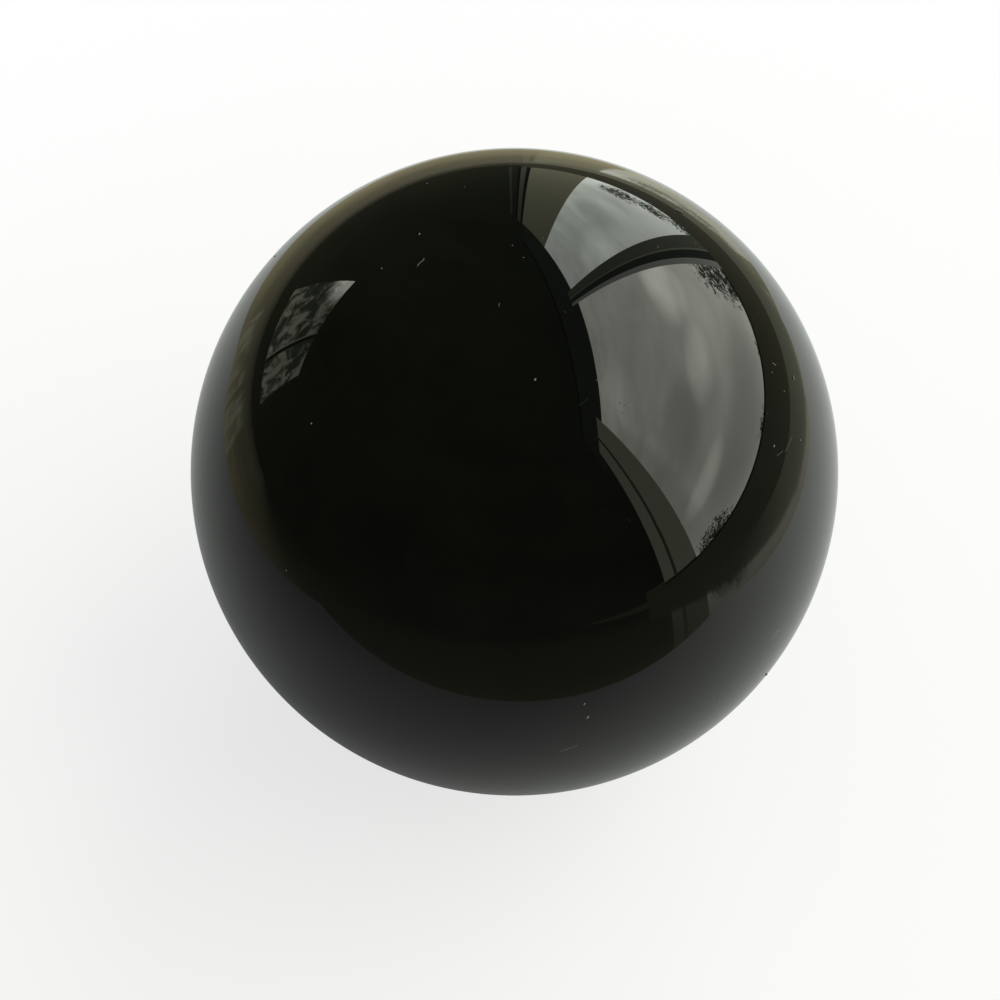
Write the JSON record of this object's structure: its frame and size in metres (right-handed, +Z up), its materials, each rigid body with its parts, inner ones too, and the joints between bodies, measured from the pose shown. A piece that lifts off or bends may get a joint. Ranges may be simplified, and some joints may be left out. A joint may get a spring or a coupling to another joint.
{
  "type": "obsidian sphere",
  "caption": "Polished solid ball of near-black volcanic glass, a desk ornament or paperweight that sits in a ring stand.",
  "frame": {"origin": "centre of the ball", "axes": "+Z up as the ball sits, +X to the right and +Y away from the viewer; the ball is alike in all directions"},
  "size_m": [0.08, 0.08, 0.08],
  "materials": {
    "obsidian": "mirror polish, opaque near-black volcanic glass with a faint olive cast"
  },
  "bodies": {
    "root": {"sphere": "obsidian"}
  },
  "joints": []
}
